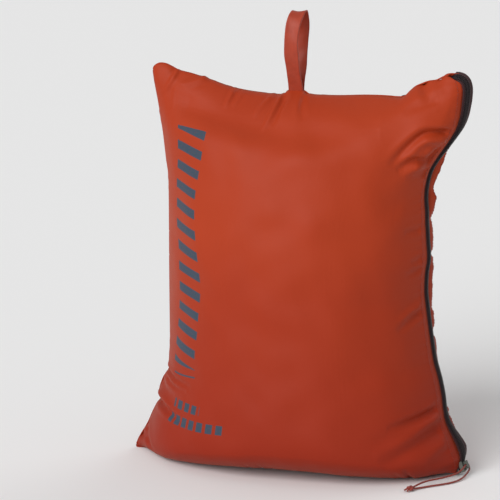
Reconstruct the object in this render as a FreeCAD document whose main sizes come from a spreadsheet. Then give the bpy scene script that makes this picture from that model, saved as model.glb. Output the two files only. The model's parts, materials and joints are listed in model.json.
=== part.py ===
import FreeCAD, Part
import math
import os
import Sketcher

# Camp blanket packed upright in its own zipped pillow pocket, in millimetres.
# X runs to the zipper side, Y to the back, Z up. The floor is Z = 0 and the
# front of the pocket faces -Y.

Vector = FreeCAD.Vector
Y_AXIS = Vector(0, 1, 0)
doc = FreeCAD.newDocument("camp_blanket")

# ---------------------------------------------------------------- dimensions
SIZES = {
    "waist_left": -114.8,        # narrowest point of the left side seam
    "waist_right": 106.8,        # narrowest point of the zipper side
    "left_radius": 500,          # radius of the left side's upper hollow
    "left_waist_height": 215,
    "foot_radius": 230,          # radius of its lower hollow
    "foot_waist_height": 120,
    "zip_radius": 397,           # radius of the hollow zipper side
    "zip_height": 161,           # height of the zipper's middle
    "zip_half_angle": 23.6,      # half of the arc that the zipper covers
    "top_radius": 380,           # radius of the hollow top seam
    "top_low": 311,              # lowest point of the top seam
    "top_low_side": 1.5,         # where along X that point lies
    "bottom_radius": 341,        # radius of the arched bottom seam
    "bottom_rise": 5,            # height of the bottom seam's middle
    "bottom_middle": -5,         # where along X that point lies
    "ear_left": -152,
    "ear_right": 141,
    "ear_top": 336,
    "ear_round": 10,
    "fabric": 0.8,               # thickness of the pocket's fabric
    "edge_depth": 4,             # half depth at the seams
    "zip_edge_depth": 5,         # what the zipper side adds to it
    "loft": 89,                  # fullness of the filling
    "side_softness": 50,         # how fast the filling rises from each seam
    "top_softness": 45,
    "bottom_softness": 16,
    "seam_width": 8,             # turned-in seam allowance
    "mouth_half": 5,             # half width of the zipper opening
    "tape_thick": 0.6,
    "tape_gap": 1.7,             # from the middle of the chain to a tape
    "tape_edge": 8,
    "coil_out": 1.3,             # how far the chain stands out of the side
    "coil_edge": 2.9,
    "coil_spine": 2.0,
    "coil_reach": 0.6,           # how far a tooth crosses the middle
    "tooth_thick": 1.0,
    "tooth_step": 0.15,          # teeth are this much lower than the spine
    "tooth_count": 102,
    "slider_angle": 22.75,       # where the slider is parked, below the middle
    "slider_long": 9,
    "slider_half_width": 4.3,
    "plate_thick": 1.3,
    "plate_gap": 0.3,            # slider plates to the chain
    "flange_inner": 3.5,
    "post_half": 1.2,
    "crown_out": 6.5,            # crown height over the side
    "crown_half_width": 1.5,
    "crown_half_long": 3.2,
    "hole_out": 4.5,             # height of the cord hole in the crown
    "hole_radius": 1.2,
    "cord_radius": 0.75,
    "knot_ring": 1.5,
    "knot_cord": 1.1,
    "knot_core": 2,
    "tail_long": 5,
    "loop_side": -5,             # middle of the hang loop along X
    "loop_width": 12,
    "loop_thick": 1.2,
    "loop_lift": 2,              # inside of the loop over the top seam
    "loop_bulge": 12.4,          # half gap of the loop at its widest
    "loop_tall": 66,
    "tail_deep": 10,             # part of the loop sewn into the seam
    "bartack_thick": 0.6,        # stitched bar that holds the loop's tail
    "bartack_tall": 1.6,
    "blanket_side": 14,          # blanket to the left seam
    "blanket_zip": 24,           # blanket to the zipper side
    "blanket_end": 13,           # blanket to the top and bottom seams
    "blanket_face": 10,          # blanket to the pocket's panels
    "blanket_ear": 28,           # how far the blanket stops short of the ears
    "ply_count": 5,
    "skin": 0.5,                 # fabric of the blanket
    "slit": 1.4,                 # the two skins between two plies
    "fold_wall": 7,              # fabric and fill round the closed end of a slit
    "hem": 6,
}

sheet = doc.addObject("Spreadsheet::Sheet", "dims")
for row, (alias, value) in enumerate(SIZES.items(), start=1):
    sheet.set("A%d" % row, alias)
    sheet.set("B%d" % row, str(value))
    sheet.setAlias("B%d" % row, alias)
doc.recompute()


def size(alias):
    return float(sheet.get(alias))


ZIP_CENTRE = Vector(size("waist_right") + size("zip_radius"), 0, size("zip_height"))
SPAN = 400                       # longer than anything it cuts


# ------------------------------------------------------------------- helpers
def save(item, node):
    """Label a finished sub-part and list it for export."""
    item.Label = node
    finished.append(item)
    return item


def feature(node, shape, place=None):
    """A soft sub-part whose shape is worked out from the sheet."""
    item = doc.addObject("Part::Feature", node)
    item.Shape = shape
    if place is not None:
        item.Placement = place
    return save(item, node)


def zip_place(angle):
    """From the zipper's own frame to the part, an angle up from its middle."""
    return FreeCAD.Placement(ZIP_CENTRE, FreeCAD.Rotation(Y_AXIS, angle))


def origin_plane(body, role):
    return [plane for plane in body.Origin.OriginFeatures if plane.Role == role][0]


def sketch_on(body, role, name):
    sketch = body.newObject("Sketcher::SketchObject", name)
    sketch.AttachmentSupport = [(origin_plane(body, role), "")]
    sketch.MapMode = "FlatFace"
    return sketch


def rectangle(sketch, low_x, high_x, low_y, high_y):
    """A rectangle with its four sides bound to expressions of the sheet."""
    first = sketch.GeometryCount
    corners = [Vector(-2, 1, 0), Vector(-1, 1, 0), Vector(-1, 2, 0), Vector(-2, 2, 0)]
    for index in range(4):
        sketch.addGeometry(Part.LineSegment(corners[index], corners[(index + 1) % 4]))
    for index in range(4):
        following = first + (index + 1) % 4
        sketch.addConstraint(Sketcher.Constraint("Coincident", first + index, 2, following, 1))
    for index in (0, 2):
        sketch.addConstraint(Sketcher.Constraint("Horizontal", first + index))
        sketch.addConstraint(Sketcher.Constraint("Vertical", first + index + 1))
    bind(sketch, "DistanceX", first, 1, low_x, "low_x%d" % first)
    bind(sketch, "DistanceX", first, 2, high_x, "high_x%d" % first)
    bind(sketch, "DistanceY", first, 1, low_y, "low_y%d" % first)
    bind(sketch, "DistanceY", first + 2, 1, high_y, "high_y%d" % first)


def bind(sketch, kind, geometry, point, expression, name):
    """Measure a point from the sketch's origin by an expression."""
    index = sketch.addConstraint(Sketcher.Constraint(kind, -1, 1, geometry, point, 1.0))
    sketch.renameConstraint(index, name)
    sketch.setExpression("Constraints." + name, expression)


def pad(body, sketch, name, length):
    item = body.newObject("PartDesign::Pad", name)
    item.Profile = sketch
    item.Midplane = True
    item.setExpression("Length", length)
    return item


def block(body, name, limits, length, role="XY_Plane"):
    """A pad, even about its plane, over one rectangle."""
    sketch = sketch_on(body, role, name + "_sketch")
    rectangle(sketch, *limits)
    return pad(body, sketch, name, length)


# --------------------------------------------------------- the pillow's form
def circle_gap(centre_x, centre_z, radius, x, z):
    """Distance of a place from a hollow side, never quite reaching zero."""
    distance = math.hypot(x - centre_x, z - centre_z) - radius
    return (distance + math.hypot(distance, 6)) / 2


SIDES = {
    "left": (size("waist_left") - size("left_radius"), size("left_waist_height"), size("left_radius")),
    "foot": (size("waist_left") - size("foot_radius"), size("foot_waist_height"), size("foot_radius")),
    "zip": (ZIP_CENTRE.x, ZIP_CENTRE.z, size("zip_radius")),
    "top": (size("top_low_side"), size("top_low") + size("top_radius"), size("top_radius")),
    "bottom": (size("bottom_middle"), size("bottom_rise") - size("bottom_radius"), size("bottom_radius")),
}
SOFTNESS = {
    "left": size("side_softness"),
    "zip": size("side_softness"),
    "top": size("top_softness"),
    "bottom": size("bottom_softness"),
}


def half_depth(x, z):
    """Half the pillow's depth over a place of its outline."""
    gaps = {side: circle_gap(*circle, x, z) for side, circle in SIDES.items()}
    gaps["left"] = min(gaps["left"], gaps.pop("foot"))
    fullness = size("loft")
    for side, gap in gaps.items():
        fullness *= 1 - math.exp(-gap / SOFTNESS[side])
    edge = size("edge_depth") + size("zip_edge_depth") * math.exp(-gaps["zip"] / 30)
    return edge + fullness


def surface(share, shift):
    """Face at a share of the half depth, moved by a shift along Y."""
    columns = [-165 + 10 * step for step in range(34)]
    rows = [-30 + 10 * step for step in range(39)]
    grid = [[Vector(x, share * half_depth(x, z) + shift, z) for z in rows] for x in columns]
    spline = Part.BSplineSurface()
    spline.interpolate(grid)
    return spline.toShape()


def between(low_share, low_shift, high_share, high_shift):
    """Solid between two such faces."""
    ahead = surface(low_share, low_shift).extrude(Vector(0, SPAN, 0))
    behind = surface(high_share, high_shift).extrude(Vector(0, -SPAN, 0))
    return ahead.common(behind)


def outline(insets, floor):
    """Pillow-shaped prism through Y: a rounded block hollowed on its sides."""
    trim = insets["block"]
    wide = size("ear_right") - size("ear_left") - 2 * trim
    corner = Vector(size("ear_left") + trim, -SPAN / 2, floor - 60)
    tall = size("ear_top") - trim - corner.z
    prism = Part.makeBox(wide, SPAN, tall, corner)
    ears = [edge for edge in prism.Edges if is_ear(edge)]
    prism = prism.makeFillet(size("ear_round"), ears)
    for side, (centre_x, centre_z, radius) in SIDES.items():
        start = Vector(centre_x, -SPAN, centre_z)
        prism = prism.cut(Part.makeCylinder(radius + insets[side], 2 * SPAN, start, Y_AXIS))
    return prism.cut(Part.makeBox(SPAN, 2 * SPAN, 100, Vector(-SPAN / 2, -SPAN, floor - 100)))


def is_ear(edge):
    """True for the block's top edges that run along Y."""
    runs_back = abs(edge.tangentAt(edge.FirstParameter).y) > 0.9
    return runs_back and edge.CenterOfMass.z > size("zip_height")


def even(inset):
    return {side: inset for side in (*SIDES, "block")}


def half_space(sign):
    """Everything in front of (-1) or behind (+1) the seam's plane."""
    corner = Vector(-SPAN / 2, 0 if sign > 0 else -SPAN, -SPAN / 4)
    return Part.makeBox(SPAN, SPAN, SPAN * 1.5, corner)


def sector(low_radius, high_radius, half_width, low_angle, high_angle):
    """Curved bar that follows the zipper's arc."""
    corners = [
        Vector(-high_radius, -half_width, 0),
        Vector(-low_radius, -half_width, 0),
        Vector(-low_radius, half_width, 0),
        Vector(-high_radius, half_width, 0),
    ]
    face = Part.Face(Part.makePolygon(corners + corners[:1]))
    bar = face.revolve(Vector(0, 0, 0), Y_AXIS, high_angle - low_angle)
    bar.Placement = zip_place(low_angle)
    return bar


finished = []

# ------------------------------------------------------------ pocket's shell
fabric = size("fabric")
outer = between(-1, 0, 1, 0).common(outline(even(0), 0))
inner = between(-1, fabric, 1, -fabric).common(outline(even(fabric), fabric))
mouth = sector(
    size("zip_radius") - 3, size("zip_radius") + 2, size("mouth_half"),
    -size("zip_half_angle") - 0.05, size("zip_half_angle") + 0.1)
wall = outer.cut(inner).cut(mouth)
feature("pocket_front_panel", wall.common(half_space(-1)))
feature("pocket_back_panel", wall.common(half_space(1)))

# The turned-in seam allowance follows the left, top and bottom seams.
seam_insets = even(fabric + size("seam_width"))
seam_insets["zip"] = -20
seam_insets["block"] = 0
seam_ring = outline(even(fabric), fabric).cut(outline(seam_insets, fabric + size("seam_width")))
seam_strip = Part.makeBox(SPAN, 2 * fabric, SPAN, Vector(-SPAN / 2, -fabric, 0))
zip_relief = sector(
    size("zip_radius") - 20, size("zip_radius") + 14, 2 * size("tape_edge"), -40, 40)
loop_x = size("loop_side")
loop_top = size("top_low") - fabric
tail_box = Part.makeBox(
    size("loop_width"), 2 * size("loop_thick"), size("tail_deep"),
    Vector(loop_x - size("loop_width") / 2, -size("loop_thick"), loop_top - size("tail_deep")))
feature("seam_allowance", seam_ring.common(seam_strip).cut(zip_relief).cut(tail_box))

# ------------------------------------------------------------- hang loop tail
tail = doc.addObject("Part::Box", "hang_loop_tail")
tail.setExpression("Length", "dims.loop_width")
tail.setExpression("Width", "2 * dims.loop_thick")
tail.setExpression("Height", "dims.tail_deep")
tail.setExpression("Placement.Base.x", "dims.loop_side - dims.loop_width / 2")
tail.setExpression("Placement.Base.y", "-dims.loop_thick")
tail.setExpression("Placement.Base.z", "dims.top_low - dims.fabric - dims.tail_deep")
save(tail, "hang_loop_tail")

bar = doc.addObject("Part::Box", "hang_loop_bartack")
bar.setExpression("Length", "dims.loop_width - 2")
bar.setExpression("Width", "dims.bartack_thick")
bar.setExpression("Height", "dims.bartack_tall")
bar.setExpression("Placement.Base.x", "dims.loop_side - dims.loop_width / 2 + 1")
bar.setExpression("Placement.Base.y", "-dims.loop_thick - dims.bartack_thick")
bar.setExpression("Placement.Base.z", "dims.top_low - dims.fabric - dims.tail_deep / 2")
save(bar, "hang_loop_bartack")


# -------------------------------------------------------------------- zipper
def zip_body(node, angle):
    body = doc.addObject("PartDesign::Body", node)
    body.Placement = zip_place(angle)
    return save(body, node)


def revolve(body, sketch, name, angle):
    item = body.newObject("PartDesign::Revolution", name)
    item.Profile = sketch
    item.ReferenceAxis = (sketch, ["V_Axis"])
    item.setExpression("Angle", angle)
    return item


def across(side, near, far):
    """Limits along Y on one side of the chain: the back is +, the front -."""
    if side == "back":
        return near, far
    return "-(%s)" % far, "-(%s)" % near


def tape(side):
    body = zip_body("zipper_tape_" + side, -size("zip_half_angle"))
    sketch = sketch_on(body, "XY_Plane", "tape_sketch_" + side)
    low_y, high_y = across(side, "dims.tape_gap", "dims.tape_edge")
    inside = "-(dims.zip_radius + dims.fabric + dims.tape_thick)"
    rectangle(sketch, inside, "-(dims.zip_radius + dims.fabric)", low_y, high_y)
    revolve(body, sketch, "tape_sweep_" + side, "2 * dims.zip_half_angle")


def coil(side):
    """Spine of the chain with its teeth, which cross the middle by turns."""
    start = -size("slider_angle")
    sweep = "dims.zip_half_angle + dims.slider_angle - 0.5"
    step = (size("zip_half_angle") + size("slider_angle") - 0.5) / size("tooth_count")
    body = zip_body("zipper_coil_" + side, start)
    spine = sketch_on(body, "XY_Plane", "spine_sketch_" + side)
    low_y, high_y = across(side, "dims.coil_spine", "dims.coil_edge")
    inside = "-(dims.zip_radius + dims.fabric)"
    outside = "-(dims.zip_radius - dims.coil_out)"
    rectangle(spine, inside, outside, low_y, high_y)
    revolve(body, spine, "spine_" + side, sweep)
    low_y, high_y = across(side, "-dims.coil_reach", "dims.coil_spine + 0.3")
    root = "-(dims.zip_radius + dims.fabric - dims.tooth_step)"
    crest = "-(dims.zip_radius - dims.coil_out + dims.tooth_step)"
    tooth = block(body, "tooth_" + side, (root, crest, low_y, high_y), "dims.tooth_thick")
    shift = 0.35 if side == "front" else 0.85
    tooth.Profile[0].AttachmentOffset = FreeCAD.Placement(
        Vector(0, 0, 0), FreeCAD.Rotation(Y_AXIS, step * shift))
    teeth = body.newObject("PartDesign::PolarPattern", "teeth_" + side)
    teeth.Originals = [tooth]
    teeth.Axis = (spine, ["V_Axis"])
    teeth.setExpression("Angle", "%s - %.4f" % (sweep, step))
    teeth.setExpression("Occurrences", "dims.tooth_count")
    body.Tip = teeth


for side in ("front", "back"):
    tape(side)
    coil(side)


def end_stop(node, angle, sweep):
    """Stitched stop across the two tapes at one end of the chain."""
    body = zip_body(node, angle)
    sketch = sketch_on(body, "XY_Plane", node + "_sketch")
    inside = "-(dims.zip_radius + dims.fabric)"
    rectangle(sketch, inside, "-(dims.zip_radius - 1)", "-dims.coil_edge", "dims.coil_edge")
    revolve(body, sketch, node + "_sweep", sweep)


end_stop("zipper_bottom_stop", -size("zip_half_angle"), "0.14")
end_stop("zipper_top_stop", size("zip_half_angle") - 0.4, "0.3")

# -------------------------------------------------------------------- slider
slider = zip_body("slider_body", -size("slider_angle"))
top_low = "-(dims.zip_radius - dims.coil_out - dims.plate_gap)"
top_high = "-(dims.zip_radius - dims.coil_out - dims.plate_gap - dims.plate_thick)"
below_high = "-(dims.zip_radius + dims.fabric + dims.tape_thick + dims.plate_gap)"
below_low = below_high[:-1] + " + dims.plate_thick)"
half = "dims.slider_half_width"
long = "dims.slider_long"
block(slider, "outer_plate", (top_low, top_high, "-" + half, half), long)
for name, low_y, high_y in (
        ("front_flange", "-" + half, "-dims.flange_inner"),
        ("back_flange", "dims.flange_inner", half)):
    block(slider, name, ("-(dims.zip_radius + 0.3)", top_low, low_y, high_y), long)

post = sketch_on(slider, "XY_Plane", "post_sketch")
rectangle(post, below_low, top_high, "-dims.post_half", "dims.post_half")
divider = slider.newObject("PartDesign::Pad", "divider")
divider.Profile = post
divider.Reversed = True
divider.setExpression("Length", "dims.slider_long / 2")
block(slider, "inner_plate", (below_low, below_high, "-" + half, half), long)

crown_low = top_high
crown_high = "-(dims.zip_radius - dims.crown_out)"
crown = sketch_on(slider, "XZ_Plane", "crown_sketch")
rectangle(crown, crown_low, crown_high, "-dims.crown_half_long", "dims.crown_half_long")
pad(slider, crown, "crown", "2 * dims.crown_half_width")

hole_sketch = sketch_on(slider, "XZ_Plane", "hole_sketch")
hole_sketch.addGeometry(Part.Circle(Vector(-1, 0, 0), Vector(0, 0, 1), 1))
bind(hole_sketch, "DistanceX", 0, 3, "-(dims.zip_radius - dims.hole_out)", "hole_x")
hole_sketch.addConstraint(Sketcher.Constraint("PointOnObject", 0, 3, -1))
radius_index = hole_sketch.addConstraint(Sketcher.Constraint("Radius", 0, 1.0))
hole_sketch.renameConstraint(radius_index, "hole_r")
hole_sketch.setExpression("Constraints.hole_r", "dims.hole_radius")
hole = slider.newObject("PartDesign::Pocket", "cord_hole")
hole.Profile = hole_sketch
hole.Midplane = True
hole.setExpression("Length", "4 * dims.crown_half_width")
doc.recompute()

# --------------------------------------------------------- pull cord and knot
HOLE = zip_place(-size("slider_angle")).multVec(Vector(-(size("zip_radius") - size("hole_out")), 0, 0))

# Route of the cord, from the knot over the floor, through the crown's hole and
# back to the knot: X and Y from the hole's middle, Z over the floor.
CORD_ROUTE = [
    (-31.0, -54.6, 3.2),
    (-28.6, -48.5, 3.9),
    (-23.2, -39.2, 4.7),
    (-15.0, -30.6, 4.8),
    (-8.8, -24.0, 5.4),
    (-3.7, -17.8, 6.2),
    (-0.9, -10.9, 7.7),
    (0.0, -4.2, 9.15),
    (0.0, 0.3, 9.3),
    (0.0, 4.4, 9.2),
    (0.6, 6.0, 7.8),
    (1.4, 6.1, 5.8),
    (2.0, 4.5, 4.4),
    (2.2, 1.3, 3.9),
    (2.1, -4.6, 3.2),
    (1.2, -12.4, 2.2),
    (-1.3, -20.4, 1.4),
    (-6.4, -28.3, 1.1),
    (-13.6, -36.0, 1.2),
    (-22.2, -43.6, 1.1),
    (-28.6, -51.4, 1.3),
    (-31.4, -55.8, 2.2),
]


def cord_points():
    return [Vector(HOLE.x + x, y, z) for x, y, z in CORD_ROUTE]


def tangent_wire(points):
    """Straight runs joined by tangent arcs; prints the smallest arc radius."""
    edges = []
    radii = []
    start = points[0]
    for before, corner, after in zip(points, points[1:], points[2:]):
        back = (before - corner).normalize()
        ahead = (after - corner).normalize()
        half_turn = (math.pi - back.getAngle(ahead)) / 2
        reach = 0.45 * min((before - corner).Length, (after - corner).Length)
        radius = reach / math.tan(half_turn)
        radii.append(radius)
        middle = (back + ahead).normalize()
        centre = corner + middle * (radius / math.cos(half_turn))
        first = corner + back * reach
        last = corner + ahead * reach
        edges.append(Part.LineSegment(start, first).toShape())
        edges.append(Part.Arc(first, centre - middle * radius, last).toShape())
        start = last
    edges.append(Part.LineSegment(start, points[-1]).toShape())
    print("cord arc radii, mm:", " ".join("%.1f" % radius for radius in radii))
    return Part.Wire(edges)


def tube(wire, radius):
    first = wire.Edges[0]
    ring = Part.makeCircle(radius, first.valueAt(first.FirstParameter), first.tangentAt(first.FirstParameter))
    return wire.makePipeShell([Part.Wire(ring)], True, True)


cord_wire = tangent_wire(cord_points())
cord_solid = tube(cord_wire, size("cord_radius"))
print("cord length, mm: %.1f" % cord_wire.Length)
print("cord volume over section x length: %.3f" % (
    cord_solid.Volume / (math.pi * size("cord_radius") ** 2 * cord_wire.Length)))
feature("pull_cord", cord_solid)

KNOT = Vector(HOLE.x - 32.8, -57.2, 2.8)


def knot_part(kind, name, turn_axis, turn):
    item = doc.addObject(kind, name)
    item.Placement = FreeCAD.Placement(KNOT, FreeCAD.Rotation(turn_axis, turn))
    return item


ring = knot_part("Part::Torus", "knot_ring", Vector(1, 0.6, 0), 35)
ring.setExpression("Radius1", "dims.knot_ring")
ring.setExpression("Radius2", "dims.knot_cord")
core_ball = knot_part("Part::Sphere", "knot_core", Y_AXIS, 0)
core_ball.setExpression("Radius", "dims.knot_core")
knot_items = [ring, core_ball]
for name, direction in (
        ("knot_tail_a", Vector(-1, -0.55, -0.1)), ("knot_tail_b", Vector(-0.35, -1, -0.12))):
    end = doc.addObject("Part::Cylinder", name)
    end.Placement = FreeCAD.Placement(KNOT, FreeCAD.Rotation(Vector(0, 0, 1), direction))
    end.setExpression("Radius", "dims.cord_radius")
    end.setExpression("Height", "dims.tail_long")
    knot_items.append(end)
knot = doc.addObject("Part::MultiFuse", "pull_cord_knot")
knot.Shapes = knot_items
save(knot, "pull_cord_knot")


# ----------------------------------------------------------------- hang loop
def loop_face():
    """Side view of the standing loop: a drop with a creased top."""
    bulge = size("loop_bulge")
    tall = size("loop_tall")
    lift = size("loop_lift")

    def place(y, z):
        return Vector(0, y, z)

    widest = lift + 0.65 * (tall - lift)
    edges = []
    for sign in (1, -1):
        foot = place(0, lift)
        wide = place(sign * bulge, widest)
        crease = place(sign * 2.4, tall)
        lower = place(sign * bulge * 0.72, lift + 0.3 * (tall - lift))
        upper = place(sign * bulge * 0.74, widest + 0.56 * (tall - widest))
        edges.append(Part.Arc(foot, lower, wide).toShape())
        edges.append(Part.Arc(wide, upper, crease).toShape())
    crown_arc = Part.Arc(place(2.4, tall), place(0, tall + 0.9), place(-2.4, tall)).toShape()
    hollow = Part.Wire(Part.__sortEdges__(edges + [crown_arc]))
    band = hollow.makeOffset2D(size("loop_thick"))
    return Part.Face(band).cut(Part.Face(hollow))


loop_shape = loop_face().extrude(Vector(size("loop_width"), 0, 0))
loop_place = FreeCAD.Placement(
    Vector(loop_x - size("loop_width") / 2, 0, size("top_low")), FreeCAD.Rotation())
feature("hang_loop", loop_shape, loop_place)


# ---------------------------------------------------- folded blanket, inside
def blanket_room(grow, ends):
    """Outline of the folded blanket, smaller by grow and short by ends."""
    insets = {
        "left": size("blanket_side") + grow,
        "foot": size("blanket_side") + grow,
        "zip": size("blanket_zip") + grow,
        "top": size("blanket_end") + ends,
        "bottom": size("blanket_end") + ends,
        "block": size("blanket_ear") + grow,
    }
    return outline(insets, size("blanket_end") + ends)


ply_count = int(size("ply_count"))
reach = size("blanket_face")
skin = size("skin")
core = between(-1, reach + skin, 1, -reach - skin)
case = between(-1, reach, 1, -reach)


def slit(index, thick):
    """Gap between two plies, open to the left or to the right by turns."""
    share = -1 + 2 * index / ply_count
    gap = between(share, -thick / 2, share, thick / 2)
    opens_left = index % 2 == 1
    left_fold = size("waist_left") + size("blanket_side") + size("fold_wall")
    right_fold = size("waist_right") - size("blanket_zip") - size("fold_wall")
    low = -SPAN / 2 if opens_left else left_fold
    high = right_fold if opens_left else SPAN / 2
    return gap.common(Part.makeBox(high - low, SPAN, SPAN, Vector(low, -SPAN / 2, 0)))


def joined(shapes):
    return shapes[0].multiFuse(shapes[1:])


slits = [slit(index, size("slit")) for index in range(1, ply_count)]
insulation = core.common(blanket_room(skin, size("hem")))
for gap in slits:
    insulation = insulation.cut(gap)
feature("blanket_insulation", insulation)

# The skins lie around the stack and fill the slits; each belongs to one side.
room = blanket_room(0, size("hem"))
around = case.cut(core).common(room)
rim = core.common(room.cut(blanket_room(skin, size("hem"))))
middle_x = (size("waist_left") + size("waist_right")) / 2
left_half = Part.makeBox(SPAN, 2 * SPAN, SPAN, Vector(middle_x - SPAN, -SPAN, 0))
right_half = Part.makeBox(SPAN, 2 * SPAN, SPAN, Vector(middle_x, -SPAN, 0))
odd_skins = [gap.common(core).common(room) for gap in slits[0::2]]
even_skins = [gap.common(core).common(room) for gap in slits[1::2]]
outside_skin = joined([around, rim])
feature("blanket_lining_fabric", joined([outside_skin.common(left_half)] + odd_skins))
feature("blanket_face_fabric", joined([outside_skin.common(right_half)] + even_skins))

# The hem closes the two long edges of the folded blanket.
hem_zone = blanket_room(skin, 0).cut(blanket_room(-20, size("hem")))
hem = case.common(hem_zone)
for gap in slits:
    hem = hem.cut(gap)
feature("blanket_hem", hem)

# -------------------------------------------------------------------- export
doc.recompute()
os.makedirs("parts", exist_ok=True)
for item in doc.Objects:
    if "Invalid" in item.State or "Error" in item.State:
        raise RuntimeError("%s did not compute: %s" % (item.Label, item.State))
whole = FreeCAD.BoundBox()
for item in finished:
    shape = item.Shape
    if shape.isNull() or not shape.isValid():
        raise RuntimeError("%s has no valid shape" % item.Label)
    shape.exportStep("parts/%s.step" % item.Label)
    if not item.Label.startswith("pull_cord"):
        whole.add(shape.BoundBox)
    print("%-24s %2d solid(s) %10.1f mm3" % (item.Label, len(shape.Solids), shape.Volume))
print("bounds without the cord:", whole)
print("cord hole at:", HOLE)
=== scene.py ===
import json
import math

import bpy
import numpy as np
from mathutils import Matrix, Vector


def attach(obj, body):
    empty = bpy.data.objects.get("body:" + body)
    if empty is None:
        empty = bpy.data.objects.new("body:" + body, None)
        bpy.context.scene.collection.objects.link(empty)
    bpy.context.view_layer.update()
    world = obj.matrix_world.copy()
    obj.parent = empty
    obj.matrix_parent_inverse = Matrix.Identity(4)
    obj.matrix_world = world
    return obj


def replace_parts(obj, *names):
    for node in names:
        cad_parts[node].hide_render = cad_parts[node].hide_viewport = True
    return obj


# A camp blanket packed in its own zipped pillow pocket. Sizes here are in
# millimetres, and MM turns them into Blender's metres.
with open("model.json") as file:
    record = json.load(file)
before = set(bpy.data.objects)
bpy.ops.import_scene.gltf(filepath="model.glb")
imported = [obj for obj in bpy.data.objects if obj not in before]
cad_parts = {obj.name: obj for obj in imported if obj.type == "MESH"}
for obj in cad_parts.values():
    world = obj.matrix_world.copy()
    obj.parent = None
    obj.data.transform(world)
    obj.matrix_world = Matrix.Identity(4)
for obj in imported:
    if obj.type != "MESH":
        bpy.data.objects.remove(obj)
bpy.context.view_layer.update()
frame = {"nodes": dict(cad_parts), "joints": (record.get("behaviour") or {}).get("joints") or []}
MM = 0.001
RANDOM = np.random.default_rng(11)
JOINTS = {joint["name"]: joint for joint in frame["joints"]}
HOLE = np.array(JOINTS["pull_cord_swing"]["pos_m"]) / MM

FABRIC = (0.325, 0.030, 0.0080, 1)
FABRIC_WARM = (0.375, 0.042, 0.0105, 1)
# Painted shade: the darker, redder colour of the shell fabric's lower part.
FABRIC_PAINTED_SHADE = (0.215, 0.012, 0.0050, 1)
PRINT = (0.030, 0.062, 0.090, 1)
TAPE = (0.046, 0.011, 0.013, 1)
COIL = (0.010, 0.006, 0.007, 1)
CORD = (0.26, 0.040, 0.028, 1)
THREAD = (0.30, 0.038, 0.020, 1)
FABRIC_SHEEN = (1.0, 0.34, 0.10, 1)
ENAMEL = (0.014, 0.016, 0.014, 1)


# ------------------------------------------------------------------ materials
class Shader:
    """A material with its Principled node and short ways to add nodes."""

    def __init__(self, name, color, roughness, specular=0.5):
        self.material = bpy.data.materials.new(name)
        self.material.use_nodes = True
        self.tree = self.material.node_tree
        self.main = self.tree.nodes["Principled BSDF"]
        self.main.inputs["Base Color"].default_value = color
        self.main.inputs["Roughness"].default_value = roughness
        self.main.inputs["Specular IOR Level"].default_value = specular

    def add(self, kind, **settings):
        node = self.tree.nodes.new(kind)
        for key, value in settings.items():
            if key in node.inputs:
                node.inputs[key].default_value = value
            else:
                setattr(node, key, value)
        return node

    def link(self, source, target):
        self.tree.links.new(source, target)

    def place(self, kind="Object"):
        return self.add("ShaderNodeTexCoord").outputs[kind]

    def noise(self, where, scale, detail=3.0):
        node = self.add("ShaderNodeTexNoise", Scale=scale, Detail=detail)
        self.link(where, node.inputs["Vector"])
        return node.outputs["Fac"]

    def math(self, operation, first, second=0.0, clamp=False):
        node = self.add("ShaderNodeMath", operation=operation, use_clamp=clamp)
        for socket, value in zip(node.inputs, (first, second)):
            if isinstance(value, (int, float)):
                socket.default_value = value
            else:
                self.link(value, socket)
        return node.outputs["Value"]

    def mix(self, factor, low, high):
        node = self.add("ShaderNodeMix", data_type="RGBA")
        self.link(factor, node.inputs[0])
        for socket, value in ((node.inputs[6], low), (node.inputs[7], high)):
            if isinstance(value, tuple):
                socket.default_value = value
            else:
                self.link(value, socket)
        return node.outputs[2]

    def bump(self, height, strength, distance, normal=None):
        node = self.add("ShaderNodeBump", Strength=strength, Distance=distance)
        self.link(height, node.inputs["Height"])
        if normal is not None:
            self.link(normal, node.inputs["Normal"])
        self.link(node.outputs["Normal"], self.main.inputs["Normal"])
        return node.outputs["Normal"]


def weave(shader, where, pitch):
    """Height of a plain weave: warp and weft threads at a pitch in mm."""
    parts = shader.add("ShaderNodeSeparateXYZ")
    shader.link(where, parts.inputs[0])
    turn = 2 * math.pi / (pitch * MM)
    warp = shader.math("SINE", shader.math("MULTIPLY", parts.outputs["X"], turn))
    weft = shader.math("SINE", shader.math("MULTIPLY", parts.outputs["Y"], turn))
    return shader.math("MULTIPLY", warp, weft)


def band(shader, value, low, high, edge=0.0002):
    """1 where a value lies between two limits, with a soft edge."""
    rise = shader.math("DIVIDE", shader.math("SUBTRACT", value, low - edge), 2 * edge, clamp=True)
    fall = shader.math("DIVIDE", shader.math("SUBTRACT", high + edge, value), 2 * edge, clamp=True)
    return shader.math("MULTIPLY", rise, fall)


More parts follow.
